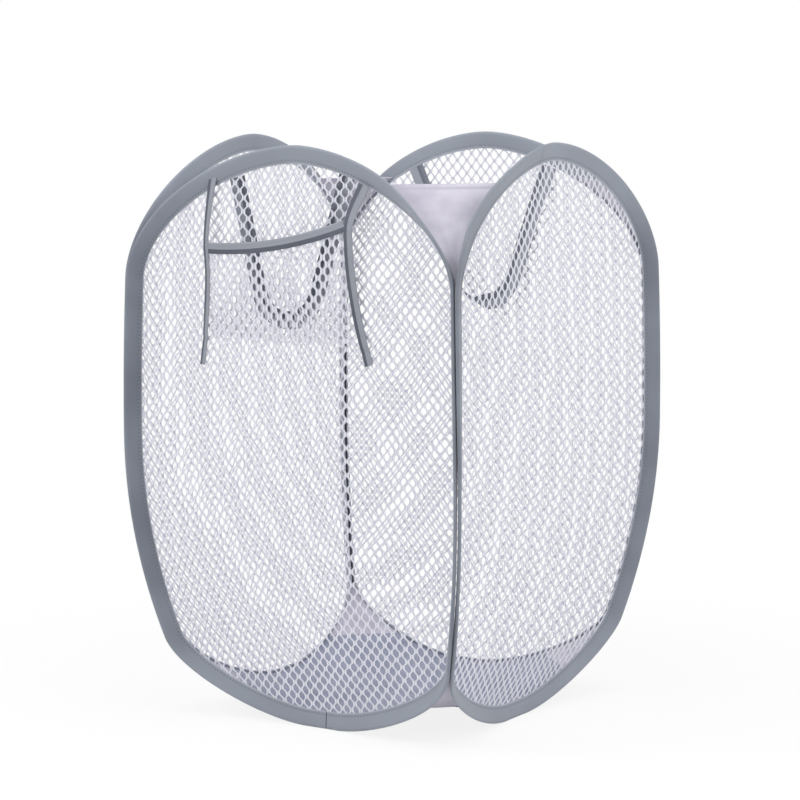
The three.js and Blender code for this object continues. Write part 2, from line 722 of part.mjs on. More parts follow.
SIDES.forEach((side, k) => {
  const panel = new THREE.Group();
  panel.rotation.z = k * QUARTER_TURN;
  hamper.add(panel);
  const frames = loopFrames();
  add(panel, `${side}_binding`, sweep(frames, bindingSection(), true), bindingFinish());
  add(panel, `${side}_spring_wire`, sweep(frames, wireSection(), true), steelFinish());
  add(panel, `${side}_wire_sleeve`, sweep(sleeveFrames(), sleeveSection(), false), steelFinish());
  for (const [name, band] of Object.entries(NET_BANDS)) {
    add(panel, `${side}_net_${name}`, cutToBand(panelNet(frames), band), netFinish());
  }
  add(panel, `${CORNERS[k]}_upper_gusset`, gusset(rimArch, RIM_GUSSET_REACH), clothFinish());
  add(panel, `${CORNERS[k]}_lower_gusset`, gusset(groundArch, GROUND_GUSSET_REACH), clothFinish());
  if (STRAPS[side]) add(panel, `${side}_strap`, strap(STRAPS[side]), bindingFinish());
});

add(hamper, 'floor_cloth', floorCloth(), clothFinish());
add(hamper, 'pocket_net', pocketNet(), netFinish());
add(hamper, 'pocket_mouth_binding', pocketBinding(), bindingFinish());
add(hamper, 'pocket_left_tape', pocketTape(LEFT_TAPE, MOUTH_LEFT_HEIGHT), bindingFinish());
add(hamper, 'pocket_right_tape', pocketTape(RIGHT_TAPE, MOUTH_RIGHT_HEIGHT), bindingFinish());

hamper.updateMatrixWorld(true);
export default hamper;
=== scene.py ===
# Pop up laundry hamper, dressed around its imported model. Metres; the pocket panel faces -Y.
import math

import bpy
from mathutils import Matrix, Vector, noise


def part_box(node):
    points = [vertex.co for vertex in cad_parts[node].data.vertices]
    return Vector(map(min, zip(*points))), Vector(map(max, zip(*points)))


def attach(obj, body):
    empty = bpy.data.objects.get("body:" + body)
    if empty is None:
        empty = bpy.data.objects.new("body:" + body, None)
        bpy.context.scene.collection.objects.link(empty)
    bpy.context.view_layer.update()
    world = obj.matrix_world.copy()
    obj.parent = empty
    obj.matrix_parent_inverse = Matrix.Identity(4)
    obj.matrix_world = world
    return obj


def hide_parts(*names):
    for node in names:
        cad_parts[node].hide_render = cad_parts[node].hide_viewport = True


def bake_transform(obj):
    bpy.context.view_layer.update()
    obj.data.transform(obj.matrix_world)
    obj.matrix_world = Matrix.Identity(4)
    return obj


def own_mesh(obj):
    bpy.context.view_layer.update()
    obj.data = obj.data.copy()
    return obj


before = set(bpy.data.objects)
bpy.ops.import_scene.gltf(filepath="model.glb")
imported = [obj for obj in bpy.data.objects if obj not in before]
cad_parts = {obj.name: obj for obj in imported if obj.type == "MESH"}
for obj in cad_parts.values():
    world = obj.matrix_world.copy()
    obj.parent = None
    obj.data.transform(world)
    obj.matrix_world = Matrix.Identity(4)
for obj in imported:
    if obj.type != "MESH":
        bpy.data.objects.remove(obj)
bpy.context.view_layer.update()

MM = 0.001

# Sizes of the sprung loops, as the model has them
HALF_WIDTH = 178 * MM
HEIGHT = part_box("front_binding")[1].z
WIDEST_HEIGHT = 276 * MM
GROUND_TUCK = 50 * MM
RIM_TUCK = 8 * MM
SEAM_LOW = 79 * MM
SEAM_HIGH = 424 * MM
RIM_ARCH_SHARE = 1.15
GROUND_ARCH_SHARE = 1.2
REST_HALF = 14 * MM
BINDING_WIDTH = 17 * MM
CORNER_SETBACK = math.sqrt(2) * 2 * MM
SQRT_HALF = math.sqrt(0.5)
# Stations along a half loop, by stretch
FOOT_STATIONS = 3
GROUND_STATIONS = 34
SEAM_STATIONS = 30
RIM_STATIONS = 44
# Step in a stretch's share for its slope, and how often a search halves its range
SHARE_STEP = 1e-4
HALVINGS = 40
# Points closer than this are one
WELD = 1e-6

# From a binding's inner edge outwards: where it is sewn, and how far the net reaches under it
STITCH_LINE = 3 * MM
NET_TUCK = 1.3 * MM

SIDES = ["front", "right", "back", "left"]
QUARTER_TURN = math.pi / 2

# Where each corner's seam turns when the hamper is folded
FRONT_RIGHT_SEAM = Vector((146.5 * MM, -146.5 * MM, 0))
BACK_LEFT_SEAM = -FRONT_RIGHT_SEAM
BACK_RIGHT_SEAM = Vector((189.3 * MM, 189.3 * MM, 0))
FRONT_LEFT_SEAM = -BACK_RIGHT_SEAM
BEND_REACH = 60 * MM
ACROSS_RISING = Vector((SQRT_HALF, SQRT_HALF, 0))
ACROSS_FALLING = Vector((SQRT_HALF, -SQRT_HALF, 0))


# Camera at the photograph's angle
CAMERA_AZIMUTH = math.radians(32.3)
CAMERA_ELEVATION = math.radians(7.8)
CAMERA_DISTANCE = 2.8
CAMERA_LENS = 129.6
SENSOR_WIDTH = 36
AIM_HEIGHT = 290 * MM
AIM_RIGHT = 2.6 * MM
AIM_UP = 8 * MM


def add_camera():
    right = Vector((math.cos(CAMERA_AZIMUTH), math.sin(CAMERA_AZIMUTH), 0))
    back = Vector((
        math.sin(CAMERA_AZIMUTH) * math.cos(CAMERA_ELEVATION),
        -math.cos(CAMERA_AZIMUTH) * math.cos(CAMERA_ELEVATION),
        math.sin(CAMERA_ELEVATION),
    ))
    up = back.cross(right)
    aim = Vector((0, 0, AIM_HEIGHT)) + AIM_RIGHT * right + AIM_UP * up
    data = bpy.data.cameras.new("camera")
    data.lens, data.sensor_width = CAMERA_LENS, SENSOR_WIDTH
    data.clip_start, data.clip_end = 0.1, 50
    camera = linked("camera", data)
    camera.location = aim + CAMERA_DISTANCE * back
    camera.rotation_euler = back.to_track_quat("Z", "Y").to_euler()
    bpy.context.scene.camera = camera


# Shape of the loops and panels
def panel_depth(z):
    """Distance from the hamper's middle to a panel at a height."""
    if z < WIDEST_HEIGHT:
        return HALF_WIDTH - GROUND_TUCK * ((WIDEST_HEIGHT - z) / WIDEST_HEIGHT) ** 2
    return HALF_WIDTH - RIM_TUCK * ((z - WIDEST_HEIGHT) / (HEIGHT - WIDEST_HEIGHT)) ** 2


def raised(value, power):
    return math.copysign(abs(value) ** power, value)


def ground_arch(share):
    """Inner edge of the binding from the foot's straight stretch to the corner seam's lower end."""
    turn = share * QUARTER_TURN
    z = SEAM_LOW - (SEAM_LOW - BINDING_WIDTH) * raised(math.cos(turn), GROUND_ARCH_SHARE)
    reach = panel_depth(z) - CORNER_SETBACK - REST_HALF
    return REST_HALF + reach * raised(math.sin(turn), GROUND_ARCH_SHARE), z


def corner_seam(share):
    z = SEAM_LOW + share * (SEAM_HIGH - SEAM_LOW)
    return panel_depth(z) - CORNER_SETBACK, z


def rim_arch(share):
    turn = share * QUARTER_TURN
    z = SEAM_HIGH + (HEIGHT - BINDING_WIDTH - SEAM_HIGH) * raised(math.sin(turn), RIM_ARCH_SHARE)
    return (panel_depth(z) - CORNER_SETBACK) * raised(math.cos(turn), RIM_ARCH_SHARE), z


def loop_frame(stretch, share):
    """A place on the front loop's +X half: its point, and the ways along, out and through the binding."""
    along, z = stretch(share)
    along_before, z_before = stretch(share - SHARE_STEP)
    along_after, z_after = stretch(share + SHARE_STEP)
    rise = panel_depth(z_before) - panel_depth(z_after)
    run = Vector((along_after - along_before, rise, z_after - z_before)).normalized()
    flat = math.hypot(run.x, run.z)
    outward = run.z / flat
    stand = Vector((outward * SQRT_HALF, -abs(outward) * SQRT_HALF, -run.x / flat))
    stand = (stand - run * stand.dot(run)).normalized()
    return Vector((along, -panel_depth(z), z)), run, stand, run.cross(stand)


def halved(low, high, too_low):
    """The value between low and high at which too_low turns false."""
    for _ in range(HALVINGS):
        middle = (low + high) / 2
        if too_low(middle):
            low = middle
        else:
            high = middle
    return (low + high) / 2


def rim_share(along):
    """Share along the rim's arch at a distance from the panel's middle, past 1 on the far side."""
    return halved(0, 2, lambda share: rim_arch(share)[0] > along)


def half_loop(foot, top, fine=1):
    """Frames from the foot, at a distance from the panel's middle, up to another distance at the rim."""
    def foot_run(share):
        return foot + (REST_HALF - foot) * share, BINDING_WIDTH

    end = rim_share(top)
    stations = [loop_frame(foot_run, i / FOOT_STATIONS) for i in range(FOOT_STATIONS)]
    for stretch, steps, last in (
            (ground_arch, GROUND_STATIONS, 1),
            (corner_seam, SEAM_STATIONS, 1),
            (rim_arch, RIM_STATIONS, end)):
        count = round(steps / fine)
        stations += [loop_frame(stretch, last * i / count) for i in range(count)]
    return stations + [loop_frame(rim_arch, end)]


def soft_noise(*place):
    return noise.noise(Vector(place))


def eased(share):
    share = max(0, min(1, share))
    return share * share * (3 - 2 * share)


# Slow waves of a binding, away from where its ends meet
SWAY_TURN = math.radians(6)
SWAY_TURN_RATE = 14
SWAY_SHIFT = 0.6 * MM
SWAY_SHIFT_RATE = 22
SWAY_START = 36 * MM
SWAY_GROWTH = 50 * MM
# The nearest corner's two fins lean over to the camera's left, most at the seam's upper end
LEANING = {("front", "right"): -1, ("right", "left"): 1}
LEAN_LOW = math.radians(9)
LEAN_HIGH = math.radians(27)
# How far a binding has turned into a fin where its lean starts, and where it is full
LEAN_START = 0.4
LEAN_FULL = 0.8


def leaned(place, side, finned):
    """A place on a leaning fin, which turns about its inner edge at first, then about the seam beside it."""
    point, run, stand, through = place
    rise = eased((point.z - SEAM_LOW) / (SEAM_HIGH - SEAM_LOW))
    angle = side * (LEAN_LOW + (LEAN_HIGH - LEAN_LOW) * rise) * eased(point.z / SEAM_LOW)
    seamed = eased((finned - LEAN_FULL) / (1 - LEAN_FULL))
    started = eased((finned - LEAN_START) / (LEAN_FULL - LEAN_START))
    edge_turn = Matrix.Rotation(angle * (started - seamed), 3, run)
    seam_turn = Matrix.Rotation(angle * seamed, 3, "Z")
    middle = (point.x - point.y) / 2
    seam = Vector((middle, -middle, point.z))
    turned_stand, turned_through = (seam_turn @ (edge_turn @ way) for way in (stand, through))
    return seam + seam_turn @ (point - seam), seam_turn @ run, turned_stand, turned_through


def swayed(frames, panel, half):
    """The loop's frames on one half of a panel, with the binding's waves and the lean of its fins."""
    seed = SIDES.index(panel) * 2.7 + (half == "left")
    swaying = []
    for point, run, stand, through in frames:
        finned = abs(stand.dot(ACROSS_FALLING))
        free = (1 - finned) * eased((point.x - SWAY_START) / SWAY_GROWTH)
        tilt = Matrix.Rotation(SWAY_TURN * soft_noise(point.z * SWAY_TURN_RATE, seed, 0.3) * free, 3, run)
        shift = through * (soft_noise(point.z * SWAY_SHIFT_RATE, seed, 7.1) * free * SWAY_SHIFT)
        place = point + shift, run, tilt @ stand, tilt @ through
        if (panel, half) in LEANING:
            place = leaned(place, LEANING[panel, half], finned)
        swaying.append(place)
    return swaying


# Making pieces
def linked(name, data):
    """A new object in the scene."""
    made = bpy.data.objects.new(name, data)
    bpy.context.scene.collection.objects.link(made)
    return made


def deselected():
    bpy.ops.object.select_all(action="DESELECT")


def chosen(piece):
    deselected()
    bpy.context.view_layer.objects.active = piece
    piece.select_set(True)


def editing(piece):
    """Opens a piece for editing, with all of it selected."""
    chosen(piece)
    bpy.ops.object.mode_set(mode="EDIT")
    bpy.ops.mesh.select_all(action="SELECT")


def done_editing():
    bpy.ops.object.mode_set(mode="OBJECT")


def faced_out(piece):
    editing(piece)
    bpy.ops.mesh.normals_make_consistent(inside=False)
    done_editing()


def apply(piece, kind, **settings):
    """Adds a modifier with its settings and applies it."""
    chosen(piece)
    modifier = piece.modifiers.new(kind.lower(), kind)
    for name, value in settings.items():
        setattr(modifier, name, value)
    bpy.ops.object.modifier_apply(modifier=modifier.name)


def smoothed(piece, angle=50):
    chosen(piece)
    bpy.ops.object.shade_smooth_by_angle(angle=math.radians(angle))
    return piece


def cloth_grid(name, rows, columns, place):
    """A grid with its points where place(row, column) says, which also gives their places in the weave."""
    deselected()
    bpy.ops.mesh.primitive_grid_add(x_subdivisions=columns, y_subdivisions=rows, size=1)
    piece = bpy.context.object
    piece.name = piece.data.name = name
    weave = piece.data.attributes.new("weave", "FLOAT_VECTOR", "POINT")
    for v in piece.data.vertices:
        row, column = round((v.co.y + 0.5) * rows), round((v.co.x + 0.5) * columns)
        v.co, weave.data[v.index].vector = place(row, column)
    return piece


def swept(name, stations, section):
    """A closed tape or wire: a section's (out, across) at each station's (point, out, through, along)."""
    ring = len(section)

    def place(row, column):
        point, stand, through, along = stations[row]
        out, across = section[column % ring]
        return point + stand * out + through * across, Vector((along, out, across))

    piece = cloth_grid(name, len(stations) - 1, ring, place)
    editing(piece)
    bpy.ops.mesh.remove_doubles(threshold=WELD)
    bpy.ops.mesh.select_all(action="DESELECT")
    bpy.ops.mesh.select_mode(type="EDGE")
    bpy.ops.mesh.select_non_manifold()
    bpy.ops.mesh.fill_holes(sides=0)
    bpy.ops.mesh.select_all(action="SELECT")
    bpy.ops.mesh.normals_make_consistent(inside=False)
    bpy.ops.mesh.select_mode(type="VERT")
    done_editing()
    return piece


def turned(piece, quarter_turns, mirrored=False):
    """Puts a piece made on the front panel on another one."""
    if mirrored:
        piece.data.transform(Matrix.Scale(-1, 4, Vector((1, 0, 0))))
        piece.data.flip_normals()
    piece.data.transform(Matrix.Rotation(quarter_turns * QUARTER_TURN, 4, "Z"))


def joined(piece, other):
    chosen(piece)
    other.select_set(True)
    bpy.ops.object.join()


def dressed(piece, *finishes):
    piece.data.materials.clear()
    for finish in finishes:
        piece.data.materials.append(finish)
    return piece


# Shader maths
class Signal:
    """What a node gives, with Python's arithmetic as Math nodes."""

    def __init__(self, finish, socket):
        self.finish, self.socket = finish, socket

    def math(self, operation, first, second=0.0):
        return self.finish.node("ShaderNodeMath", {"operation": operation}, {0: first, 1: second})

    def __add__(self, other): return self.math("ADD", self, other)
    def __sub__(self, other): return self.math("SUBTRACT", self, other)
    def __mul__(self, other): return self.math("MULTIPLY", self, other)
    def __truediv__(self, other): return self.math("DIVIDE", self, other)
    def __lt__(self, other): return self.math("LESS_THAN", self, other)
    def __abs__(self): return self.math("ABSOLUTE", self)
    def sine(self): return self.math("SINE", self)


class Finish:
    """A material's nodes."""

    def __init__(self, name):
        self.material = bpy.data.materials.new(name)
        self.material.use_nodes = True
        self.tree = self.material.node_tree
        self.tree.nodes.clear()

    def node(self, kind, settings=None, inputs=None, output=0):
        """Any node: its settings are set first, then the values or links of its sockets."""
        made = self.tree.nodes.new(kind)
        for name, value in (settings or {}).items():
            if name == "stops":
                ramp = made.color_ramp.elements
                while len(ramp) < len(value):
                    ramp.new(1)
                for stop, (position, color) in zip(ramp, value):
                    stop.position, stop.color = position, color
            else:
                setattr(made, name, value)
        for name, value in (inputs or {}).items():
            if isinstance(value, Signal):
                self.tree.links.new(value.socket, made.inputs[name])
            else:
                made.inputs[name].default_value = value
        return Signal(self, made.outputs[output])

    def attribute(self, name):
        return self.node("ShaderNodeAttribute", {"attribute_name": name}, output="Vector")

    def axes(self, vector):
        return [self.node("ShaderNodeSeparateXYZ", inputs={0: vector}, output=i) for i in range(3)]

    def place(self):
        return self.node("ShaderNodeTexCoord", output="Object")

    def grain(self, vector, scale, detail=2.0):
        inputs = {"Vector": vector, "Scale": scale, "Detail": detail}
        return self.node("ShaderNodeTexNoise", inputs=inputs)

    def blended(self, share, first, second):
        settings = {"data_type": "RGBA", "clamp_factor": True}
        return self.node("ShaderNodeMix", settings, {0: share, 6: first, 7: second}, output=2)

    def ramped(self, share, *stops):
        return self.node("ShaderNodeValToRGB", {"stops": stops}, {0: share})

    def raised(self, height, strength, distance):
        inputs = {"Height": height, "Strength": strength, "Distance": distance}
        return self.node("ShaderNodeBump", inputs=inputs)

    def surface(self, **inputs):
        named = {name.replace("_", " "): value for name, value in inputs.items()}
        shader = self.node("ShaderNodeBsdfPrincipled", inputs=named)
        return self.output(shader)

    def output(self, shader):
        end = self.tree.nodes.new("ShaderNodeOutputMaterial")
        self.tree.links.new(shader.socket, end.inputs["Surface"])
        return self.material


def linear(red, green, blue):
    """A colour written as seen on a screen, from 0 to 255."""
    def one(value):
        value /= 255
        return value / 12.92 if value <= 0.04045 else ((value + 0.055) / 1.055) ** 2.4
    return one(red), one(green), one(blue), 1


# Pale tape tone: the stitching thread's colour, and also the painted light on the bindings
PALE_TAPE_AND_PAINTED_LIGHT = linear(160, 166, 177)
BINDING_DEEP = linear(104, 110, 122)
BINDING_LIGHT = linear(130, 136, 147)
STRAP_DEEP = linear(90, 95, 108)
STRAP_LIGHT = linear(116, 121, 134)
POCKET_DEEP = linear(72, 77, 90)
POCKET_LIGHT = linear(98, 103, 116)
# Painted shade for the groove along the tapes' stitches
GROOVE_PAINTED_SHADE = linear(84, 88, 100)
THREAD_PALE = linear(196, 200, 210)
NET_WHITE = linear(235, 235, 243)
NET_SHADE = linear(223, 223, 233)
# Painted shade for the crease where two cells' ribbons meet
NET_PAINTED_SHADE_LINE = linear(176, 179, 194)
CLOTH_PALE = linear(203, 199, 212)
CLOTH_DEEP = linear(178, 174, 190)
# Painted shade: the floor is the gussets' cloth, given darker colours for the less light that reaches it
# through the nets
BOTTOM_PAINTED_SHADE_PALE = linear(152, 156, 176)
BOTTOM_PAINTED_SHADE_DEEP = linear(134, 139, 159)
STEEL = linear(150, 151, 153)

# Spacing of the tapes' ribs and threads, and half the width of the groove along their stitches
RIB_PITCH = 0.9 * MM
THREAD_PITCH = 0.7 * MM
GROOVE_HALF = 0.45 * MM
SELVEDGE = 0.9 * MM
# Painted light: the bindings grow lighter towards the rim and the foot, for the light on their arches,
# between these distances from half the height
PAINTED_LIGHT_START = 140 * MM
PAINTED_LIGHT_FULL = 260 * MM
PAINTED_LIGHT_SHARE = 0.6
# Spacing of the cloth's threads, and the share of a net's ribbon that its line of painted shade takes
CLOTH_PITCH = 0.8 * MM
NET_PAINTED_SHADE_SHARE = 0.25


def tape_finish(name, deep, light, painted_light_share):
    """Woven tape: ribs across it, a groove along the stitches with painted shade in it, a slow change of
    tone, and painted light towards the rim, the foot and the outer fold.
    """
    finish = Finish(name)
    along, out, _ = finish.axes(finish.attribute("weave"))
    ribs = (along * (math.tau / RIB_PITCH)).sine() * 0.5 + 0.5
    threads = (out * (math.tau / THREAD_PITCH)).sine() * 0.5 + 0.5
    groove = abs(out - STITCH_LINE) < GROOVE_HALF
    edge = out < SELVEDGE
    tone = finish.grain(finish.place(), 13.0)
    body = finish.ramped(tone, (0.3, deep), (0.72, light))
    height = finish.axes(finish.place())[2]
    # Painted light: lighter towards the rim and the foot, standing in for the light on the arches
    painted_light = finish.node(
        "ShaderNodeMapRange", {"interpolation_type": "SMOOTHSTEP"},
        {"Value": abs(height - HEIGHT / 2), "From Min": PAINTED_LIGHT_START, "From Max": PAINTED_LIGHT_FULL,
         "To Min": 0.0, "To Max": painted_light_share})
    body = finish.blended(painted_light, body, PALE_TAPE_AND_PAINTED_LIGHT)
    # Painted light: a little lighter towards the outer fold, for the light across the tape's curve
    body = finish.blended(out / BINDING_WIDTH * 0.12, body, PALE_TAPE_AND_PAINTED_LIGHT)
    # Painted shade: darker in the groove along the stitches
    body = finish.blended(groove * 0.55, body, GROOVE_PAINTED_SHADE)
    body = finish.blended(edge * 0.45, body, THREAD_PALE)
    relief = ribs * threads + tone * 0.6 - groove * 1.5
    return finish.surface(
        Base_Color=body, Roughness=0.62, Sheen_Weight=0.25, Sheen_Roughness=0.4,
        Normal=finish.raised(relief, 0.35, 0.25 * MM))


def stitch_finish():
    finish = Finish("pale_stitching")
    tone = finish.grain(finish.place(), 900.0)
    color = finish.ramped(tone, (0.3, PALE_TAPE_AND_PAINTED_LIGHT), (0.7, THREAD_PALE))
    relief = finish.raised(tone, 0.4, 0.1 * MM)
    return finish.surface(Base_Color=color, Roughness=0.55, Normal=relief)


def net_finish():
    """Knitted polyester ribbons with a fine line of painted shade where two cells meet."""
    finish = Finish("white_net_yarn")
    tone = finish.grain(finish.place(), 1400.0)
    slow = finish.grain(finish.place(), 18.0)
    color = finish.ramped(tone * 0.6 + slow * 0.4, (0.3, NET_SHADE), (0.62, NET_WHITE))
    inward = finish.node("ShaderNodeAttribute", {"attribute_name": "ribbon"}, output="Fac")
    # Painted shade: a darker line in the crease where two cells' ribbons meet
    color = finish.blended((inward < NET_PAINTED_SHADE_SHARE) * 0.8, color, NET_PAINTED_SHADE_LINE)
    return finish.surface(
        Base_Color=color, Roughness=0.5, Sheen_Weight=0.2,
        Normal=finish.raised(inward + tone * 0.3, 0.5, 0.2 * MM))


def cloth_finish(name, pale, deep):
    """Thin plain woven cloth with soft patches of tone and, where a piece has one, a hem's sewn line."""
    finish = Finish(name)
    across, up, hem = finish.axes(finish.attribute("weave"))
    warp = (across * (math.tau / CLOTH_PITCH)).sine()
    weft = (up * (math.tau / CLOTH_PITCH)).sine()
    tone = finish.grain(finish.place(), 34.0, 4.0)
    color = finish.ramped(tone, (0.3, deep), (0.62, pale))
    color = finish.blended(hem, color, deep)
    relief = warp * weft * 0.4 + tone * 2
    return finish.surface(
        Base_Color=color, Roughness=0.7, Sheen_Weight=0.2, Normal=finish.raised(relief, 0.3, 0.3 * MM))


def steel_finish():
    finish = Finish("sprung_steel")
    tone = finish.grain(finish.place(), 700.0)
    return finish.surface(
        Base_Color=STEEL, Metallic=1.0, Roughness=tone * 0.2 + 0.25,
        Normal=finish.raised(tone, 0.2, 0.05 * MM))


TAPE = tape_finish("grey_binding_tape", BINDING_DEEP, BINDING_LIGHT, PAINTED_LIGHT_SHARE)
STRAP_TAPE = tape_finish("grey_strap_tape", STRAP_DEEP, STRAP_LIGHT, 0.0)
POCKET_TAPE = tape_finish("grey_pocket_tape", POCKET_DEEP, POCKET_LIGHT, 0.0)
STITCHING = stitch_finish()
YARN = net_finish()
CLOTH = cloth_finish("pale_woven_cloth", CLOTH_PALE, CLOTH_DEEP)
# Painted shade: a darker copy of the gussets' cloth for the floor, which gets less light
BOTTOM_CLOTH_PAINTED_SHADE = cloth_finish("woven_cloth_painted_shade", BOTTOM_PAINTED_SHADE_PALE, BOTTOM_PAINTED_SHADE_DEEP)
SPRING = steel_finish()


# Corners: two bodies, their seam, the way across it, and how far the bend reaches past it
FRONT_RIGHT = ("front_panel", "right_panel", FRONT_RIGHT_SEAM, ACROSS_RISING, BEND_REACH)
FRONT_LEFT = ("front_panel", "left_panel", FRONT_LEFT_SEAM, -ACROSS_FALLING, BEND_REACH)
BACK_LEFT = ("left_panel", "back_panel", BACK_LEFT_SEAM, ACROSS_RISING, BEND_REACH)
# The corner that each half panel turns at when the hamper folds; the back right one is open, so its halves
# turn apart there
CORNERS = {
    ("front", "right"): FRONT_RIGHT,
    ("right", "left"): FRONT_RIGHT,
    ("front", "left"): FRONT_LEFT,
    ("left", "right"): FRONT_LEFT,
    ("left", "left"): BACK_LEFT,
    ("back", "right"): BACK_LEFT,
    ("right", "right"): ("right_panel", "back_right_upper_gusset", BACK_RIGHT_SEAM, -ACROSS_FALLING, 0),
    ("back", "left"): ("back_panel", "back_right_lower_gusset", BACK_RIGHT_SEAM, ACROSS_FALLING, 0),
}


def follow(piece, panel, half):
    """Bakes a half panel's piece's place into its mesh. Its corner, whose middle line turns half as far as
    the panels, and the ends of a bend are looked up, but the piece is not bent.
    """
    first, second, seam, across, beyond = CORNERS[panel, half]
    start, end = seam - across * BEND_REACH, seam + across * beyond
    tuple(start)
    tuple(end)
    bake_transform(piece)


# Bindings
# Half the binding's thickness at distances from its inner edge; the wire's sleeve fits inside
BINDING_PROFILE = [
    (0, 0.85), (1.2, 0.95), (2.2, 0.9), (3, 0.66), (3.9, 0.92), (6, 1.12), (9, 1.35),
    (12, 1.6), (14, 1.68), (15.4, 1.55), (16.3, 1.15), (16.85, 0.55), (17, 0),
]


def binding_section():
    there = [(out * MM, -half * MM) for out, half in BINDING_PROFILE]
    back = [(out * MM, half * MM) for out, half in reversed(BINDING_PROFILE[:-1])]
    return there + back


# Where the two ends of each binding meet, from the panel's middle, with the gap between the halves: at the
# foot, then at the rim, where the cut may slant
JOINS = {
    "front": (6, 0.9, 34, 0, 0),
    "right": (-9, 0, -26, 0.5, 0.4),
    "back": (12, 0, 8, 0, 0),
    "left": (-5, 0, 20, 0, 0),
}
SLANT_STATIONS = 6


def half_binding(panel, half):
    """Half of a folded binding, from its end at the foot to its end at the rim, and its stations."""
    foot, foot_gap, top, top_gap, slant = JOINS[panel]
    side = 1 if half == "right" else -1
    foot_end, top_end = (foot * side + foot_gap / 2) * MM, (top * side + top_gap / 2) * MM
    frames = swayed(half_loop(foot_end, top_end), panel, half)
    stations, along = [], 0
    for i, (point, run, stand, through) in enumerate(frames):
        if i:
            along += (point - frames[i - 1][0]).length
        cut = max(0, i - len(frames) + 1 + SLANT_STATIONS) / SLANT_STATIONS
        stations.append((point, stand - run * (side * slant * cut), through, along))
    return swept(f"{panel}_binding_{half}", stations, binding_section()), stations


# Half a stitch's length, width and thickness, the stitches' spacing, and how far from a binding's middle
STITCH_HALVES = (1.25 * MM, 0.28 * MM, 0.22 * MM)
STITCH_SPACING = 3.6 * MM
BINDING_STITCH_DEPTH = 0.72 * MM


def stitch_shape():
    """One stitch: a short rounded thread."""
    deselected()
    bpy.ops.mesh.primitive_uv_sphere_add(segments=6, ring_count=4, radius=1)
    stitch = bpy.context.object
    stitch.data.transform(Matrix.Diagonal((*STITCH_HALVES, 1)))
    mesh = stitch.data
    bpy.data.objects.remove(stitch)
    return mesh


STITCH = stitch_shape()


def sewn(name, places):
    """Stitches at each (point, along way, up way), as one mesh."""
    corners = [v.co.copy() for v in STITCH.vertices]
    faces = [tuple(p.vertices) for p in STITCH.polygons]
    vertices, polygons = [], []
    for point, run, up in places:
        side = up.cross(run).normalized()
        turn = Matrix((run, side, up)).transposed()
        first = len(vertices)
        vertices += [turn @ v + point for v in corners]
        polygons += [tuple(first + i for i in face) for face in faces]
    mesh = bpy.data.meshes.new(name)
    mesh.from_pydata(vertices, [], polygons)
    mesh.polygons.foreach_set("use_smooth", [True] * len(polygons))
    mesh.polygons.foreach_set("material_index", [1] * len(polygons))
    for _ in range(2):
        mesh.materials.append(None)
    return linked(name, mesh)


def walked(stations, spacing):
    """Places at an even spacing along stations, from half a spacing on."""
    wanted = spacing / 2
    for before, after in zip(stations, stations[1:]):
        while wanted <= after[3]:
            share = (wanted - before[3]) / (after[3] - before[3])
            point, stand, through = (before[i].lerp(after[i], share) for i in range(3))
            yield point, stand.normalized(), through.normalized(), (after[0] - before[0]).normalized()
            wanted += spacing


def stitches_along(stations, out, depth, faces=(-1, 1)):
    """A row of stitches' places at a distance from the stations' line, on one face or both."""
    places = []
    for point, stand, through, run in walked(stations, STITCH_SPACING):
        for face in faces:
            up = through * face
            side = up.cross(run).normalized()
            places.append((point + stand * out + up * depth, side.cross(up).normalized(), up))
    return places


def stitched(piece, tape, places):
    """Dresses a piece in its tape and adds its stitches to it."""
    dressed(piece, tape, STITCHING)
    smoothed(piece)
    joined(piece, dressed(sewn(f"{piece.name}_stitches", places), tape, STITCHING))


def add_bindings():
    for k, panel in enumerate(SIDES):
        for half in ("left", "right"):
            piece, stations = half_binding(panel, half)
            stitched(piece, TAPE, stitches_along(stations, STITCH_LINE, BINDING_STITCH_DEPTH))
            turned(piece, k, mirrored=half == "left")
            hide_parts(f"{panel}_binding")
            follow(piece, panel, half)


# Spring wires, inside the bindings' outer folds
WIRE_INNER = 12.45 * MM
WIRE_OUTER = 15.65 * MM
WIRE_HALF = 0.5 * MM


def add_wires():
    section = [
        (WIRE_INNER, -WIRE_HALF), (WIRE_OUTER, -WIRE_HALF),
        (WIRE_OUTER, WIRE_HALF), (WIRE_INNER, WIRE_HALF)]
    for k, panel in enumerate(SIDES):
        for half in ("left", "right"):
            frames = swayed(half_loop(0, 0, fine=2), panel, half)
            stations = [(point, stand, through, 0) for point, _, stand, through in frames]
            piece = swept(f"{panel}_spring_wire_{half}", stations, section)
            dressed(piece, SPRING)
            turned(piece, k, mirrored=half == "left")
            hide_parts(f"{panel}_spring_wire")
            follow(piece, panel, half)
        dressed(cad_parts[f"{panel}_wire_sleeve"], SPRING)


# Nets: upright oval holes in staggered rows between flat knitted ribbons
NET_PITCH = 11 * MM
NET_ROW = 6.4 * MM
NET_THICKNESS = 0.6 * MM
# Corners in the upper right quarter of a cell and of its hole
NET_CELL = [(NET_PITCH / 2, 0.5 * MM), (0, NET_ROW - 0.5 * MM)]
NET_HOLE = [(3.35 * MM, 1.7 * MM), (0, 5.05 * MM)]
POCKET_NET_HOLE = [(2.7 * MM, 2 * MM), (0, 4.8 * MM)]
# How far the rows wander, and over what distance
NET_WANDER = 2.1 * MM
NET_WANDER_RATE = 28
NET_PARTS = ["lower", "middle", "upper"]


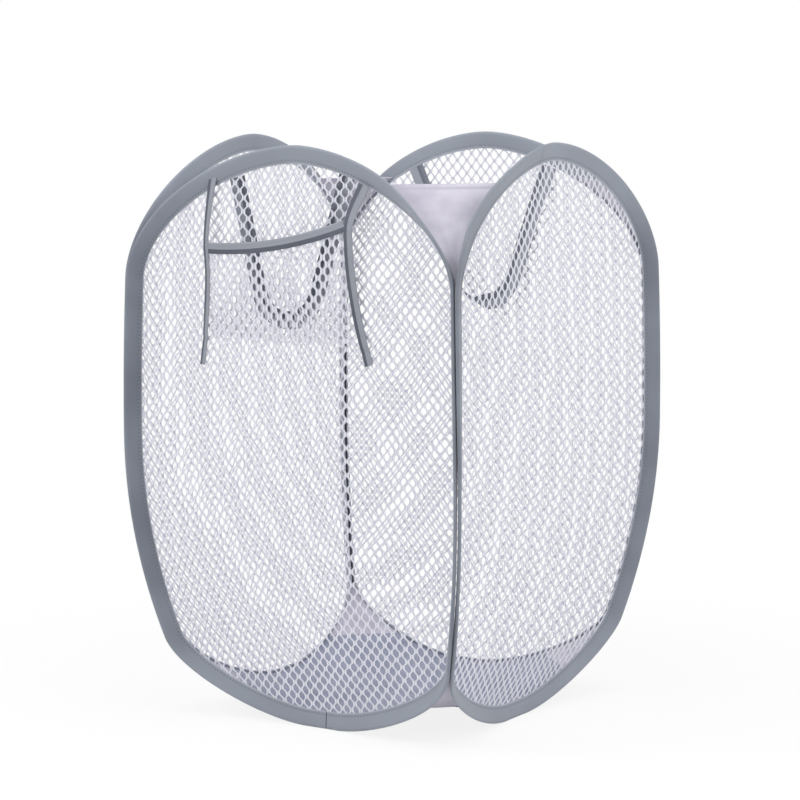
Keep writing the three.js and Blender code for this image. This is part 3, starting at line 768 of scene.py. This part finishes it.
def net_cell(name, hole):
    """One flat cell: a ribbon round a hole, with an attribute from 0 at its edge to 1 at the hole."""
    deselected()
    bpy.ops.mesh.primitive_circle_add(vertices=6, radius=1, fill_type="NGON")
    piece = bpy.context.object
    piece.name = piece.data.name = name
    editing(piece)
    bpy.ops.mesh.inset(thickness=0.3)
    bpy.ops.mesh.delete(type="ONLY_FACE")
    done_editing()
    ribbon = piece.data.attributes.new("ribbon", "FLOAT", "POINT")
    for v in piece.data.vertices:
        ribbon.data[v.index].value = v.co.length < 0.9
    for holed, ((side_x, side_z), (_, tip_z)) in ((False, NET_CELL), (True, hole)):
        corners = [
            (side_x, -side_z), (side_x, side_z), (0, tip_z),
            (-side_x, side_z), (-side_x, -side_z), (0, -tip_z)]
        ring = [v for v in piece.data.vertices if bool(ribbon.data[v.index].value) == holed]
        ring.sort(key=lambda v: math.atan2(v.co.y, v.co.x))
        corners.sort(key=lambda corner: math.atan2(corner[1], corner[0]))
        for v, (x, z) in zip(ring, corners):
            v.co = Vector((x, 0, z))
    return piece


def net_field(name, width, height, hole):
    """Cells side by side, flat, with their middle at the origin."""
    piece = net_cell(name, hole)
    columns, rows = math.ceil(width / NET_PITCH) + 2, math.ceil(height / NET_ROW / 2) + 2
    for count, offset in (
            (columns, (NET_PITCH, 0, 0)), (2, (NET_PITCH / 2, 0, NET_ROW)), (rows, (0, 0, 2 * NET_ROW))):
        apply(piece, "ARRAY", count=count, use_relative_offset=False, use_constant_offset=True,
              constant_offset_displace=offset, use_merge_vertices=True, merge_threshold=1e-5)
    piece.data.transform(Matrix.Translation((-NET_PITCH * (columns - 0.5) / 2, 0, -NET_ROW * (rows - 0.5))))
    return piece


def cut_off(place, way):
    """Cuts away what lies past a place of the piece that is open for editing."""
    bpy.ops.mesh.bisect(plane_co=place, plane_no=way, clear_outer=True, threshold=WELD)


def trimmed(piece, outline):
    """Cuts a flat net back to a convex outline of (x, z) points that runs anticlockwise."""
    editing(piece)
    for (x, z), (next_x, next_z) in zip(outline, outline[1:] + outline[:1]):
        bpy.ops.mesh.select_all(action="SELECT")
        cut_off((x, 0, z), (next_z - z, 0, x - next_x))
    done_editing()
    return piece


def wandering(piece, seed):
    """Lets a flat net's rows wander, before it is cut."""
    for v in piece.data.vertices:
        place = (v.co.x * NET_WANDER_RATE, v.co.z * NET_WANDER_RATE)
        v.co.x += soft_noise(*place, seed) * NET_WANDER
        v.co.z += soft_noise(*place, seed + 5) * NET_WANDER
    return piece


def knitted(piece, depth_at):
    """Carries a flat net to its panel and gives its ribbons their thickness; returns their flat area."""
    cut = cut_area(piece)
    for v in piece.data.vertices:
        v.co.y = -depth_at(v.co.z)
    apply(piece, "SOLIDIFY", thickness=NET_THICKNESS, offset=0)
    faced_out(piece)
    dressed(piece, YARN)
    return cut


def panel_outline():
    """The net's outline under the binding, anticlockwise from the foot."""
    right = []
    for point, _, stand, _ in half_loop(0, 0, fine=3)[:-1]:
        flat = Vector((stand.x, 0, stand.z)).normalized()
        right.append((point.x + flat.x * NET_TUCK, point.z + flat.z * NET_TUCK))
    left = [(-x, z) for x, z in reversed(right[1:])]
    return right + [(0, HEIGHT - BINDING_WIDTH + NET_TUCK)] + left


def copied(piece, name):
    twin = linked(name, piece.data.copy())
    twin.data.name = name
    return twin


def cut_area(piece):
    """Area of the flat piece that a cloth was cut as."""
    return sum(face.area for face in piece.data.polygons)


def add_nets():
    whole = net_field("net", 2 * HALF_WIDTH, HEIGHT, NET_HOLE)
    whole.data.transform(Matrix.Translation((0, 0, HEIGHT / 2)))
    outline = panel_outline()
    for k, panel in enumerate(SIDES):
        net = trimmed(wandering(copied(whole, f"{panel}_net"), k * 1.7), outline)
        for half, side in (("left", -1), ("right", 1)):
            piece = copied(net, f"{panel}_net_{half}")
            editing(piece)
            cut_off((0, 0, 0), (-side, 0, 0))
            done_editing()
            cut = knitted(piece, panel_depth)
            turned(piece, k)
            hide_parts(*(f"{panel}_net_{part}" for part in NET_PARTS))
            follow(piece, panel, half)
        bpy.data.objects.remove(net)
    bpy.data.objects.remove(whole)


# Gussets
CLOTH_THICKNESS = 0.8 * MM
HEM_WIDTH = 9 * MM
HEM_RISE = 0.5 * MM
HEM_LINE_HALF = 0.8 * MM
# How far from a panel's middle the gussets of each corner reach
RIM_GUSSET_REACH = {
    "front_right": 82 * MM, "back_right": 100 * MM, "back_left": 113 * MM, "front_left": 100 * MM}
GROUND_GUSSET_REACH = 86 * MM
GUSSET_TIP = 5 * MM
GUSSET_ROWS = 36
GUSSET_COLUMNS = 28
# Where the cloth is sewn, in millimetres off the binding's middle
SEWN_DEPTH = 1.1
# Depth of its creases, which are full where it is this wide
FINE_CREASE = 3.2 * MM
SLOW_CREASE = 4.5 * MM
SLACK_WIDTH = 50 * MM


def thickened(piece, cloth):
    """Gives a cloth piece its thickness and its finish."""
    apply(piece, "SOLIDIFY", thickness=CLOTH_THICKNESS, offset=0)
    faced_out(piece)
    dressed(piece, cloth)


def across_corner(point):
    """The same place on the other side of the front right corner's diagonal."""
    return Vector((-point.y, -point.x, point.z))


def sewn_at(place):
    """Where cloth is sewn to a binding, at one of its loop's frames."""
    point, _, stand, through = place
    return point + stand * STITCH_LINE + through * SEWN_DEPTH * MM


def gusset_edge(stretch, share, panel, half):
    return sewn_at(swayed([loop_frame(stretch, share)], panel, half)[0])


def gusset_shares(stretch, reach):
    """Shares along an arch where a gusset starts and ends."""
    def parted(share):
        along, z = stretch(share)
        return (panel_depth(z) - along) * math.sqrt(2)

    if stretch is rim_arch:
        start = halved(0, 1, lambda share: parted(share) < GUSSET_TIP)
        return start, halved(0, 1, lambda share: stretch(share)[0] > reach)
    start = halved(1, 0, lambda share: parted(share) < GUSSET_TIP)
    return start, halved(0, 1, lambda share: stretch(share)[0] < reach)


def corner_gusset(name, stretch, reach, turns, seed, first=0, last=1, hemmed=True):
    """Cloth between two arches, with creases and a hem along its wide edge, its flat size and its area."""
    start, end = gusset_shares(stretch, reach)
    columns = round(GUSSET_COLUMNS * (last - first))
    inward = -ACROSS_FALLING
    shares = [start + (end - start) * i / GUSSET_ROWS for i in range(GUSSET_ROWS + 1)]
    panel, neighbour = SIDES[turns], SIDES[(turns + 1) % 4]
    edges = [gusset_edge(stretch, share, panel, "right") for share in shares]
    others = [across_corner(gusset_edge(stretch, share, neighbour, "left")) for share in shares]

    def place(row, column):
        a, b = edges[row], others[row]
        across = first + (last - first) * column / columns
        point = a.lerp(b, across)
        to_end = (edges[-1] - a).length
        width = (b - a).length
        taut = min(across, 1 - across) * 2
        slack = min(1, width / SLACK_WIDTH) * taut ** 0.6
        crease = soft_noise(point.z * 60, (across - 0.5) * width * 14, seed) * FINE_CREASE
        crease += soft_noise(point.z * 22 + across * 2, across * 3, seed + 4) * SLOW_CREASE
        hem = hemmed and to_end < HEM_WIDTH
        line = hemmed and abs(to_end - HEM_WIDTH) < HEM_LINE_HALF
        point += inward * (crease * slack - HEM_RISE * hem)
        return point, Vector(((across - 0.5) * width, to_end, line))

    piece = cloth_grid(name, GUSSET_ROWS, columns, place)
    apply(piece, "SUBSURF", levels=1, render_levels=1)
    cut = cut_area(piece)
    thickened(piece, CLOTH)
    width = (edges[-1] - others[-1]).length * (last - first)
    length = sum((after - before).length for before, after in zip(edges, edges[1:]))
    return smoothed(piece, 60), (width, length), cut


GUSSET_TURNS = {"front_right": 0, "back_right": 1, "back_left": 2, "front_left": 3}
GUSSET_SIDES = {
    "front_right": ("front", "right"), "back_left": ("back", "right"), "front_left": ("front", "left")}


def add_gussets():
    """One cloth a gusset, but two halves at the back right corner, where the fold's linkage is open."""
    for corner, turns in GUSSET_TURNS.items():
        for level, stretch, reach in (
                ("upper", rim_arch, RIM_GUSSET_REACH[corner]), ("lower", ground_arch, GROUND_GUSSET_REACH)):
            node = f"{corner}_{level}_gusset"
            seed = turns * 3.1 + (level == "lower")
            if corner == "back_right":
                halves = [("right", "right", 0, 0.5), ("back", "left", 0.5, 1)]
            else:
                halves = [(*GUSSET_SIDES[corner], 0, 1)]
            for panel, half, first, last in halves:
                name = f"{node}_cloth" if len(halves) == 1 else f"{node}_{panel}_half"
                piece, flat, cut = corner_gusset(
                    name, stretch, reach, turns, seed, first, last, hemmed=level == "upper")
                turned(piece, turns)
                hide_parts(node)
                follow(piece, panel, half)


# Floor cloth, in four parts that meet on the diagonals and lie down against their own panels
FLOOR_LOW = 9 * MM
FLOOR_WAVE = 3.4 * MM
FLOOR_CREASE = 1.1 * MM
FLOOR_ROWS = 26
ARC_STEPS = 12
CORNER_STEPS = 6


def floor_part(panel, k):
    """A panel's quarter of the floor, from the middle to its ground arch, with its flat size and area."""
    end = halved(0, 1, lambda share: ground_arch(share)[0] < GROUND_GUSSET_REACH)
    arc = [sewn_at(loop_frame(ground_arch, end * i / ARC_STEPS)) for i in range(ARC_STEPS + 1)]
    corner = arc[-1].lerp(across_corner(arc[-1]), 0.5)
    right = arc + [arc[-1].lerp(corner, i / CORNER_STEPS) for i in range(1, CORNER_STEPS + 1)]
    edge = [Vector((-p.x, p.y, p.z)) for p in reversed(right)] + right
    turn = Matrix.Rotation(k * QUARTER_TURN, 3, "Z")

    def place(row, column):
        share = row / FLOOR_ROWS
        rim = edge[column]
        reach = Vector((rim.x * share, rim.y * share, 0))
        flat = turn @ reach
        slack = 1 - share ** 4
        lift = FLOOR_LOW + (rim.z - FLOOR_LOW) * share * share
        lift += soft_noise(flat.x * 16, flat.y * 16, 2.2) * FLOOR_WAVE * slack
        lift += soft_noise(flat.x * 55, flat.y * 30, 5.2) * FLOOR_CREASE * slack
        return Vector((flat.x, flat.y, lift)), reach

    piece = cloth_grid(f"floor_cloth_{panel}", FLOOR_ROWS, len(edge) - 1, place)
    editing(piece)
    bpy.ops.mesh.remove_doubles(threshold=WELD)
    bpy.ops.mesh.normals_make_consistent(inside=False)
    done_editing()
    cut = cut_area(piece)
    thickened(piece, BOTTOM_CLOTH_PAINTED_SHADE)
    return smoothed(piece, 60), (2 * corner.x, -arc[0].y), cut


def add_floor():
    for k, panel in enumerate(SIDES):
        piece, flat, cut = floor_part(panel, k)
        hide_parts("floor_cloth")
        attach(piece, f"{panel}_panel")
        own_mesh(piece)


# Straps: how far apart the ends stand, their middle, and how far the foot hangs below the higher end
STRAPS = {"front": (122 * MM, -7.5 * MM, 136 * MM), "back": (156 * MM, 6 * MM, 139 * MM)}
STRAP_SWAY = -6 * MM
STRAP_TURN_HALF = 32 * MM
STRAP_TURN_RISE = 25 * MM
STRAP_LAP = 3 * MM
STRAP_WIDTH = 17 * MM
STRAP_THICKNESS = 1.4 * MM
STRAP_STITCHES = 6.5 * MM
STRAP_HANG = 2.5 * MM
STRAP_WAVE = 1.2 * MM
LEG_STATIONS = 20
TURN_STATIONS = 28
# The back strap turns edge on along its foot, between these shares of its length
TWIST = math.radians(-62)
TWIST_START, TWIST_GROWTH = 0.46, 0.09
TWIST_END, TWIST_DECAY = 0.84, 0.1


def tape_section(width, thickness):
    """A flat tape's section with rounded edges, as (out, across)."""
    half, lip = width / 2, thickness / 2
    face = [
        (-half + 0.4 * lip, -0.8 * lip), (-half + lip, -lip), (-half / 2, -lip), (0, -lip),
        (half / 2, -lip), (half - lip, -lip), (half - 0.4 * lip, -0.8 * lip)]
    return [(-half, 0), *face, (half, 0)] + [(-out, -across) for out, across in face]


def way_along(line, i):
    """The way along a line of (x, z) points at one of them."""
    before, after = line[max(i - 1, 0)], line[min(i + 1, len(line) - 1)]
    return Vector((after[0] - before[0], 0, after[1] - before[1])).normalized()


def strap_line(panel):
    """The strap's middle line: down one leg, round the turn and up the other, as (x, z)."""
    spacing, offset, drop = STRAPS[panel]
    ends = []
    for side in (-1, 1):
        x = offset + side * spacing / 2
        ends.append(Vector((x, rim_arch(rim_share(abs(x) + STRAP_WIDTH / 2))[1] + STRAP_LAP)))
    foot = max(end.y for end in ends) - drop
    turns, handles = [], []
    for side, end in zip((-1, 1), ends):
        turn = Vector((offset + STRAP_SWAY + side * STRAP_TURN_HALF, foot + STRAP_TURN_RISE))
        turns.append(turn)
        handles.append(turn.lerp(end, -STRAP_TURN_RISE * 4 / 3 / (end.y - turn.y)))
    line = [ends[0].lerp(turns[0], i / LEG_STATIONS) for i in range(LEG_STATIONS)]
    for i in range(TURN_STATIONS + 1):
        t = i / TURN_STATIONS
        line.append(
            turns[0] * (1 - t) ** 3 + handles[0] * (3 * t * (1 - t) ** 2)
            + handles[1] * (3 * t * t * (1 - t)) + turns[1] * t ** 3)
    return line + [turns[1].lerp(ends[1], i / LEG_STATIONS) for i in range(1, LEG_STATIONS + 1)]


def add_straps():
    inward = Vector((0, 1, 0))
    for panel, k in (("front", 0), ("back", 2)):
        line = strap_line(panel)
        low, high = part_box(f"{panel}_strap")
        depth = (high.y if k else -low.y) - STRAP_THICKNESS / 2
        stations, along = [], 0
        for i, (x, z) in enumerate(line):
            run = way_along(line, i)
            if i:
                along += math.dist((x, z), line[i - 1])
            share = i / (len(line) - 1)
            twist = 0
            if panel == "back":
                twist = TWIST * eased((share - TWIST_START) / TWIST_GROWTH)
                twist *= 1 - eased((share - TWIST_END) / TWIST_DECAY)
            hang = math.sin(math.pi * share) * (STRAP_HANG + soft_noise(along * 20, k, 1) * STRAP_WAVE)
            reach = abs(math.sin(twist)) * STRAP_WIDTH / 2
            rock = Matrix.Rotation(twist, 3, run)
            point = Vector((x, -depth + hang + reach, z))
            stations.append((point, rock @ run.cross(inward), rock @ inward, along))
        piece = swept(f"{panel}_strap_tape", stations, tape_section(STRAP_WIDTH, STRAP_THICKNESS))
        places = []
        for out in (-STRAP_STITCHES, STRAP_STITCHES):
            places += stitches_along(stations, out, STRAP_THICKNESS / 2)
        stitched(piece, STRAP_TAPE, places)
        turned(piece, k)
        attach(piece, f"{panel}_strap")
        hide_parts(f"{panel}_strap")


# Pocket on the front panel, which leans outwards from its foot; the mouth's ends are (x, z)
POCKET_FOOT = 371 * MM
POCKET_LEAN = 6.9 * MM
POCKET_RISE = 119 * MM
POCKET_DEPTH = 178.15 * MM
MOUTH_LEFT = Vector((-91, 455)) * MM
MOUTH_RIGHT = Vector((61, 482)) * MM
MOUTH_SAG = 7 * MM
MOUTH_STEPS = 40
MOUTH_TAPE_WIDTH = 10.5 * MM
MOUTH_TAPE_THICKNESS = 2 * MM
MOUTH_TAPE_PROUD = 0.3 * MM
MOUTH_STITCH_LINE = -3 * MM
# Each side tape: its line from the rim down in millimetres, its width, the height at which it starts to get
# wider and over what rise, the mouth's height there, and the seed of its waves
SIDE_TAPES = {
    "left": (
        [(-91.5, 521), (-94.2, 471), (-93.3, 429), (-98.1, 378.4), (-102.5, 345)],
        5.5 * MM, 470 * MM, 50 * MM, MOUTH_LEFT.y, 1),
    "right": (
        [(77.1, 518), (66, 487), (65, 452), (69, 415), (76, 380), (83, 356)],
        9.5 * MM, 480 * MM, 40 * MM, MOUTH_RIGHT.y, 5),
}
SIDE_TAPE_WIDTH = 9 * MM
SIDE_TAPE_THICKNESS = 1.1 * MM
SIDE_TAPE_FLARE = 3 * MM
SIDE_TAPE_STITCH_DEPTH = 0.6 * MM
# How far its middle stands off the nets, and how much further at its loose end and at the rim
SIDE_TAPE_PROUD = 0.9 * MM
LOOSE_END_PROUD = 0.4 * MM
RIM_END_PROUD = 0.6 * MM
SIDE_TAPE_ROCK = math.radians(10)
CURVE_STEPS = 10
# The pocket net's outline, cut again along the mouth, and its size before that
POCKET_NET_OUTLINE = [
    (x * MM, z * MM)
    for x, z in ((-98.5, 371), (77, 371), (63.5, 482), (63.5, 520), (-93.5, 520), (-93.5, 430))]
# The field of cells that it is cut from, and the height of that field's middle
POCKET_FIELD = (200 * MM, 180 * MM)
POCKET_FIELD_HEIGHT = 430 * MM


def pocket_depth(z):
    return POCKET_DEPTH + POCKET_LEAN * (z - POCKET_FOOT) / POCKET_RISE


def curved(points, steps):
    """A smooth line through points, in metres, from corners in millimetres."""
    ends = [Vector(p) * MM for p in points]
    ends = [2 * ends[0] - ends[1]] + ends + [2 * ends[-1] - ends[-2]]
    line = []
    for a, b, c, d in zip(ends, ends[1:], ends[2:], ends[3:]):
        for i in range(steps):
            t = i / steps
            line.append(0.5 * (
                2 * b + (c - a) * t + (2 * a - 5 * b + 4 * c - d) * t * t
                + (3 * b - a - 3 * c + d) * t ** 3))
    return line + [ends[-2]]


def mouth_height(x):
    share = (x - MOUTH_LEFT.x) / (MOUTH_RIGHT.x - MOUTH_LEFT.x)
    return MOUTH_LEFT.y + (MOUTH_RIGHT.y - MOUTH_LEFT.y) * share - MOUTH_SAG * 4 * share * (1 - share)


def pocket_part(piece, node):
    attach(piece, "front_panel")
    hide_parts(node)


def add_side_tape(side):
    """A tape that holds the pocket's side, from the rim to its loose end."""
    points, width, flare_low, flare_rise, mouth_z, seed = SIDE_TAPES[side]
    line = curved(points, CURVE_STEPS)
    out = Vector((0, -1, 0))
    stations, along = [], 0
    for i, p in enumerate(line):
        run = way_along(line, i)
        if i:
            along += (p - line[i - 1]).length
        inside = panel_depth(p.y) + SIDE_TAPE_PROUD
        reach = inside + LOOSE_END_PROUD
        if p.y > POCKET_FOOT:
            reach = pocket_depth(min(p.y, mouth_z)) + SIDE_TAPE_PROUD
        if p.y > mouth_z:
            share = (p.y - mouth_z) / (HEIGHT - BINDING_WIDTH - mouth_z)
            reach += (inside + RIM_END_PROUD - reach) * min(share, 1)
        rock = Matrix.Rotation(SIDE_TAPE_ROCK * soft_noise(along * 30, seed, 2), 3, run)
        swell = (width + SIDE_TAPE_FLARE * max(0, (p.y - flare_low) / flare_rise)) / SIDE_TAPE_WIDTH
        stations.append((Vector((p.x, -reach, p.y)), rock @ run.cross(out) * swell, rock @ out, along))
    section = tape_section(SIDE_TAPE_WIDTH, SIDE_TAPE_THICKNESS)
    piece = swept(f"pocket_{side}_tape_sewn", stations, section)
    stitched(piece, POCKET_TAPE, stitches_along(stations, 0, SIDE_TAPE_STITCH_DEPTH, faces=(1,)))
    pocket_part(piece, f"pocket_{side}_tape")


def add_mouth_tape():
    out = Vector((0, -1, 0))
    stations, along = [], 0
    for i in range(MOUTH_STEPS + 1):
        x = MOUTH_LEFT.x + (MOUTH_RIGHT.x - MOUTH_LEFT.x) * i / MOUTH_STEPS
        z = mouth_height(x)
        point = Vector((x, -pocket_depth(z) - MOUTH_TAPE_PROUD, z))
        if i:
            along += (point - stations[-1][0]).length
        slope = (mouth_height(x + MM) - mouth_height(x - MM)) / (2 * MM)
        run = Vector((1, 0, slope)).normalized()
        stations.append((point, run.cross(out), out, along))
    piece = swept("pocket_mouth_tape", stations, tape_section(MOUTH_TAPE_WIDTH, MOUTH_TAPE_THICKNESS))
    places = stitches_along(stations, MOUTH_STITCH_LINE, MOUTH_TAPE_THICKNESS / 2, faces=(1,))
    stitched(piece, POCKET_TAPE, places)
    pocket_part(piece, "pocket_mouth_binding")


def add_pocket_net():
    """The pocket's net, cut straight at its sides and foot, then along the mouth's curve."""
    net = net_field("pocket_net_knitted", *POCKET_FIELD, POCKET_NET_HOLE)
    net.data.transform(Matrix.Translation((0, 0, POCKET_FIELD_HEIGHT)))
    trimmed(wandering(net, 9.1), POCKET_NET_OUTLINE)
    for v in net.data.vertices:
        v.co.z -= mouth_height(v.co.x)
    editing(net)
    cut_off((0, 0, 0), (0, 0, 1))
    done_editing()
    for v in net.data.vertices:
        v.co.z += mouth_height(v.co.x)
    cut = knitted(net, pocket_depth)
    pocket_part(net, "pocket_net")


# Floor, lights and the white background
FLOOR_SIZE = 12
# The floor turns from pale to the camera's white between these distances from the middle
FLOOR_WHITE = 0.86
FADE_START = 0.3
FADE_END = 0.75
WORLD_LIGHT = 0.42
# Each lamp's place, size and power
LAMPS = {
    "key": ((-1.9, -2.2, 2.4), 1.8, 52),
    "fill": ((2.9, 0.2, 1.9), 2.2, 38),
    "top": ((0.3, -0.4, 3.0), 2.0, 34),
}


def add_floor_plane():
    deselected()
    bpy.ops.mesh.primitive_plane_add(size=FLOOR_SIZE)
    ground = bpy.context.object
    ground.name = "studio_floor"
    finish = Finish("studio_floor")
    shade = finish.node("ShaderNodeBsdfDiffuse", inputs={"Color": (0.9, 0.9, 0.9, 1)})
    glow = finish.node("ShaderNodeEmission", inputs={"Color": (1, 1, 1, 1), "Strength": 1.0})
    seen = finish.node("ShaderNodeLightPath", output="Is Camera Ray")
    away = finish.node("ShaderNodeVectorMath", {"operation": "LENGTH"}, {0: finish.place()}, output="Value")
    fading = finish.node(
        "ShaderNodeMapRange", {"interpolation_type": "SMOOTHSTEP"},
        {"Value": away, "From Min": FADE_START, "From Max": FADE_END, "To Min": FLOOR_WHITE, "To Max": 1.0})
    mixed = finish.node("ShaderNodeMixShader", inputs={0: seen * fading, 1: shade, 2: glow})
    dressed(ground, finish.output(mixed))


def add_white_background():
    """White to the camera, and a plain pale light to everything else."""
    world = bpy.data.worlds.new("studio")
    bpy.context.scene.world = world
    world.use_nodes = True
    tree = world.node_tree
    background = tree.nodes["Background"]
    path = tree.nodes.new("ShaderNodeLightPath")
    strength = tree.nodes.new("ShaderNodeMath")
    strength.operation = "MAXIMUM"
    tree.links.new(path.outputs["Is Camera Ray"], strength.inputs[0])
    strength.inputs[1].default_value = WORLD_LIGHT
    background.inputs["Color"].default_value = (1, 1, 1, 1)
    tree.links.new(strength.outputs[0], background.inputs["Strength"])


def add_lamps():
    for name, (place, size, power) in LAMPS.items():
        data = bpy.data.lights.new(name, "AREA")
        data.size, data.energy = size, power
        lamp = linked(name, data)
        lamp.location = place
        toward = Vector(place) - Vector((0, 0, HEIGHT / 2))
        lamp.rotation_euler = toward.to_track_quat("Z", "Y").to_euler()


bpy.context.scene.view_settings.view_transform = "Standard"
add_camera()
add_bindings()
add_wires()
add_nets()
add_gussets()
add_floor()
add_straps()
add_side_tape("left")
add_side_tape("right")
add_mouth_tape()
add_pocket_net()
add_floor_plane()
add_white_background()
add_lamps()
